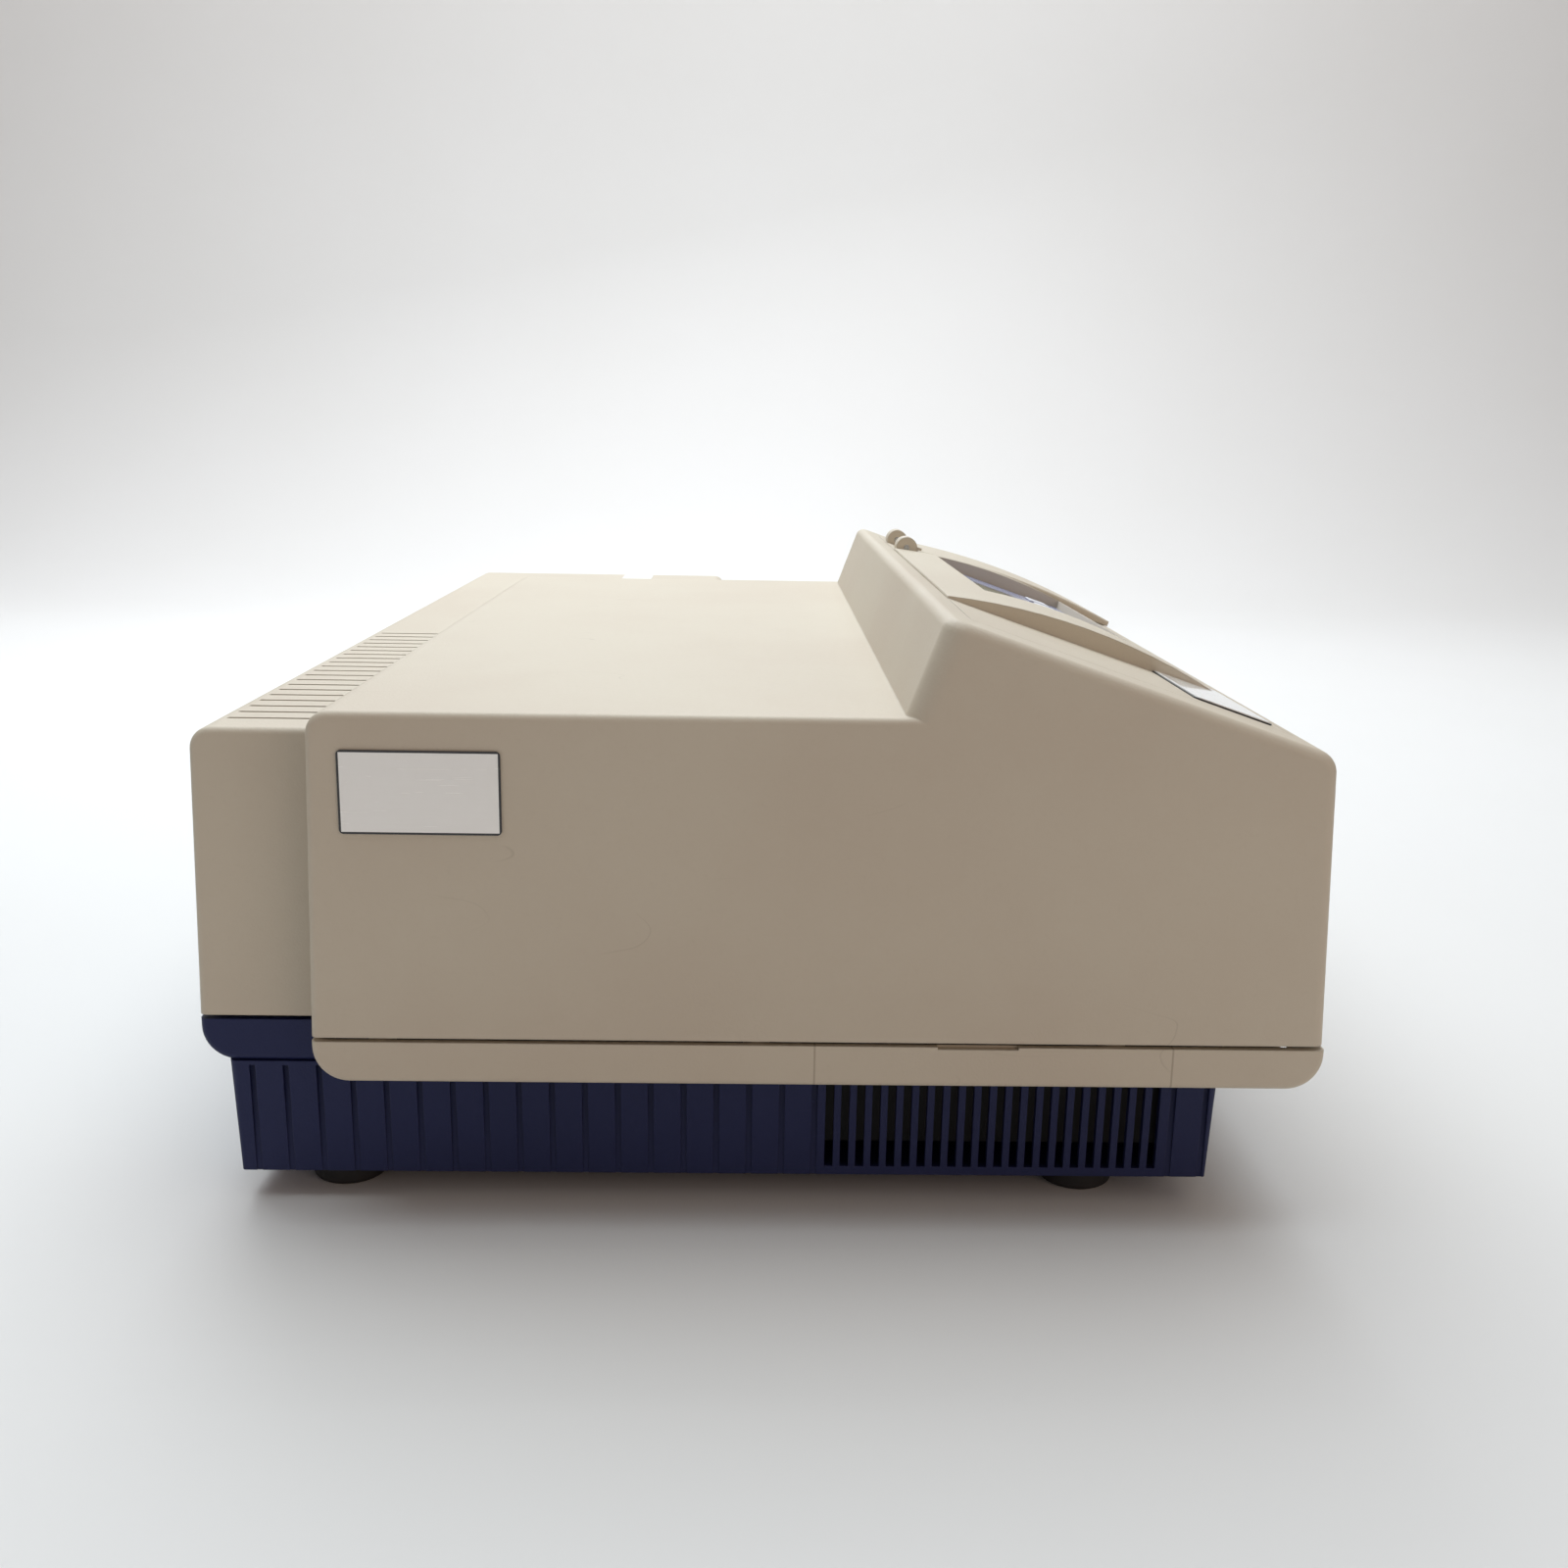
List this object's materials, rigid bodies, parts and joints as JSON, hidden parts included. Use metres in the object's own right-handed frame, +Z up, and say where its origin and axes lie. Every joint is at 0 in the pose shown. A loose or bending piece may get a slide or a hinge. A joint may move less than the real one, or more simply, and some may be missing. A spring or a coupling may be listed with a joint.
{
  "type": "microplate reader",
  "caption": "Bench-top absorbance microplate reader with a plate drawer, a sloped control panel and a cuvette port.",
  "frame": {"origin": "middle of the footprint, on the surface that the feet stand on", "axes": "+X to the user's right, -Y towards the user, where the drawer and the control panel are, +Z up"},
  "size_m": [0.58, 0.38, 0.2131],
  "materials": {
    "case_plastic": "fine spark-eroded grain",
    "base_plastic": "navy, fine spark-eroded grain",
    "rubber": "matt",
    "overlay_film": "printed film, fine matt",
    "window_acrylic": "polished",
    "circuit_board": "solder mask",
    "key_plastic": "fine matt",
    "tag_film": "satin foil",
    "chassis_black": "satin black dip coat",
    "zinc_steel": "zinc plated",
    "screw_steel": "ground",
    "black_aluminium": "black anodised",
    "aluminium": "milled",
    "black_plastic": "fine matt",
    "motor_black": "satin black",
    "clear_glass": "polished",
    "mirror_glass": "front silvered",
    "fibre_sleeve": "smooth sleeve",
    "bronze": "sintered",
    "white_plastic": "plain",
    "port_plating": "tin plated"
  },
  "bodies": {
    "frame": {"wing_cover": "case_plastic", "rear_cover": "case_plastic", "lower_trim": "case_plastic", "front_fascia": "case_plastic", "base_pan": "base_plastic", "feet": "rubber", "drive_belt": "rubber", "overlay": "overlay_film", "display_window": "window_acrylic", "display_board": "circuit_board", "main_board": "circuit_board", "tag_plate": "tag_film", "chassis_plate": "chassis_black", "power_supply": "zinc_steel", "rail_bracket": "zinc_steel", "rear_panel": "zinc_steel", "screws": "screw_steel", "lid_pins": "screw_steel", "guide_rods": "screw_steel", "fan_guard": "screw_steel", "cuvette_chamber": "black_aluminium", "monochromator": "black_aluminium", "monochromator_cover": "black_aluminium", "lamp_housing": "black_aluminium", "head_frame": "aluminium", "power_inlet": "black_plastic", "switch_housing": "black_plastic", "fan_frame": "black_plastic", "rail_block": "black_plastic", "drawer_motor": "motor_black", "head_motor": "motor_black", "grating_motor": "motor_black", "filter_motor": "motor_black", "flash_lamp": "clear_glass", "mirrors": "mirror_glass", "fibre_bundle": "fibre_sleeve", "data_ports": "port_plating"},
    "lid": {"cuvette_lid": "case_plastic"},
    "drawer": {"plate_carrier": "black_plastic", "drawer_front": "case_plastic", "drawer_rail": "screw_steel", "belt_clamp": "white_plastic"},
    "clip": {"plate_clip": "white_plastic"},
    "motor_pulley": {"motor_pulley": "screw_steel"},
    "idler_pulley": {"idler_pulley": "white_plastic"},
    "read_head": {"head_arm": "aluminium", "lens_row": "clear_glass", "detector_row": "circuit_board", "head_bushes": "bronze"},
    "lead_screw": {"lead_screw": "screw_steel"},
    "filter_wheel": {"filter_wheel": "aluminium"},
    "grating": {"grating": "aluminium"},
    "power_rocker": {"power_rocker": "black_plastic"},
    "fan_rotor": {"fan_rotor": "black_plastic"},
    "key_1": {"key_1": "key_plastic"},
    "key_2": {"key_2": "key_plastic"},
    "key_3": {"key_3": "key_plastic"},
    "key_4": {"key_4": "key_plastic"},
    "key_5": {"key_5": "key_plastic"},
    "key_6": {"key_6": "key_plastic"}
  },
  "joints": [
    {"name": "drawer_slide", "type": "slide", "parent": "frame", "child": "drawer", "axis": [0, -1, 0], "range_m": [0, 0.1377]},
    {"name": "motor_pulley_spin", "type": "hinge", "parent": "frame", "child": "motor_pulley", "pos_m": [0.2675, 0.172, 0.069], "axis": [1, 0, 0], "continuous": true},
    {"name": "idler_pulley_spin", "type": "hinge", "parent": "frame", "child": "idler_pulley", "pos_m": [0.2675, 0.0342, 0.069], "axis": [1, 0, 0], "continuous": true},
    {"name": "clip_turn", "type": "hinge", "parent": "drawer", "child": "clip", "pos_m": [0.20062, 0.1728, 0.0918], "axis": [0, 0, 1], "range_deg": [0, 20], "stiffness_Nm_per_rad": 0.05, "springref_deg": -11.46},
    {"name": "head_slide", "type": "slide", "parent": "frame", "child": "read_head", "axis": [0, -1, 0], "range_m": [0, 0.099]},
    {"name": "lead_screw_spin", "type": "hinge", "parent": "frame", "child": "lead_screw", "pos_m": [0.124, 0.1444, 0.093], "axis": [0, 1, 0], "continuous": true},
    {"name": "lid_hinge", "type": "hinge", "parent": "frame", "child": "lid", "pos_m": [0.07, -0.07545, 0.2077], "axis": [-1, 0, 0], "range_deg": [0, 115]},
    {"name": "filter_wheel_spin", "type": "hinge", "parent": "frame", "child": "filter_wheel", "pos_m": [-0.0975, 0.033, 0.075], "axis": [1, 0, 0], "continuous": true},
    {"name": "grating_turn", "type": "hinge", "parent": "frame", "child": "grating", "pos_m": [0.01, 0.045, 0.075], "axis": [0, 0, 1], "range_deg": [-10, 35]},
    {"name": "power_rocker_tilt", "type": "hinge", "parent": "frame", "child": "power_rocker", "pos_m": [-0.148, 0.18, 0.1], "axis": [-1, 0, 0], "range_deg": [0, 16]},
    {"name": "fan_spin", "type": "hinge", "parent": "frame", "child": "fan_rotor", "pos_m": [-0.032, 0.176, 0.114], "axis": [0, 1, 0], "continuous": true},
    {"name": "key_1_press", "type": "slide", "parent": "frame", "child": "key_1", "axis": [0, 0.3223, -0.9466], "range_m": [0, 0.0006], "stiffness_N_per_m": 800, "springref_m": -0.0005},
    {"name": "key_2_press", "type": "slide", "parent": "frame", "child": "key_2", "axis": [0, 0.3223, -0.9466], "range_m": [0, 0.0006], "stiffness_N_per_m": 800, "springref_m": -0.0005},
    {"name": "key_3_press", "type": "slide", "parent": "frame", "child": "key_3", "axis": [0, 0.3223, -0.9466], "range_m": [0, 0.0006], "stiffness_N_per_m": 800, "springref_m": -0.0005},
    {"name": "key_4_press", "type": "slide", "parent": "frame", "child": "key_4", "axis": [0, 0.3223, -0.9466], "range_m": [0, 0.0006], "stiffness_N_per_m": 800, "springref_m": -0.0005},
    {"name": "key_5_press", "type": "slide", "parent": "frame", "child": "key_5", "axis": [0, 0.3223, -0.9466], "range_m": [0, 0.0006], "stiffness_N_per_m": 800, "springref_m": -0.0005},
    {"name": "key_6_press", "type": "slide", "parent": "frame", "child": "key_6", "axis": [0, 0.3223, -0.9466], "range_m": [0, 0.0006], "stiffness_N_per_m": 800, "springref_m": -0.0005}
  ],
  "couplings": [
    {"joint": "motor_pulley_spin", "follows": "drawer_slide", "rad_per_m": 144.93},
    {"joint": "idler_pulley_spin", "follows": "drawer_slide", "rad_per_m": 144.93},
    {"joint": "lead_screw_spin", "follows": "head_slide", "rad_per_m": 494.74}
  ]
}
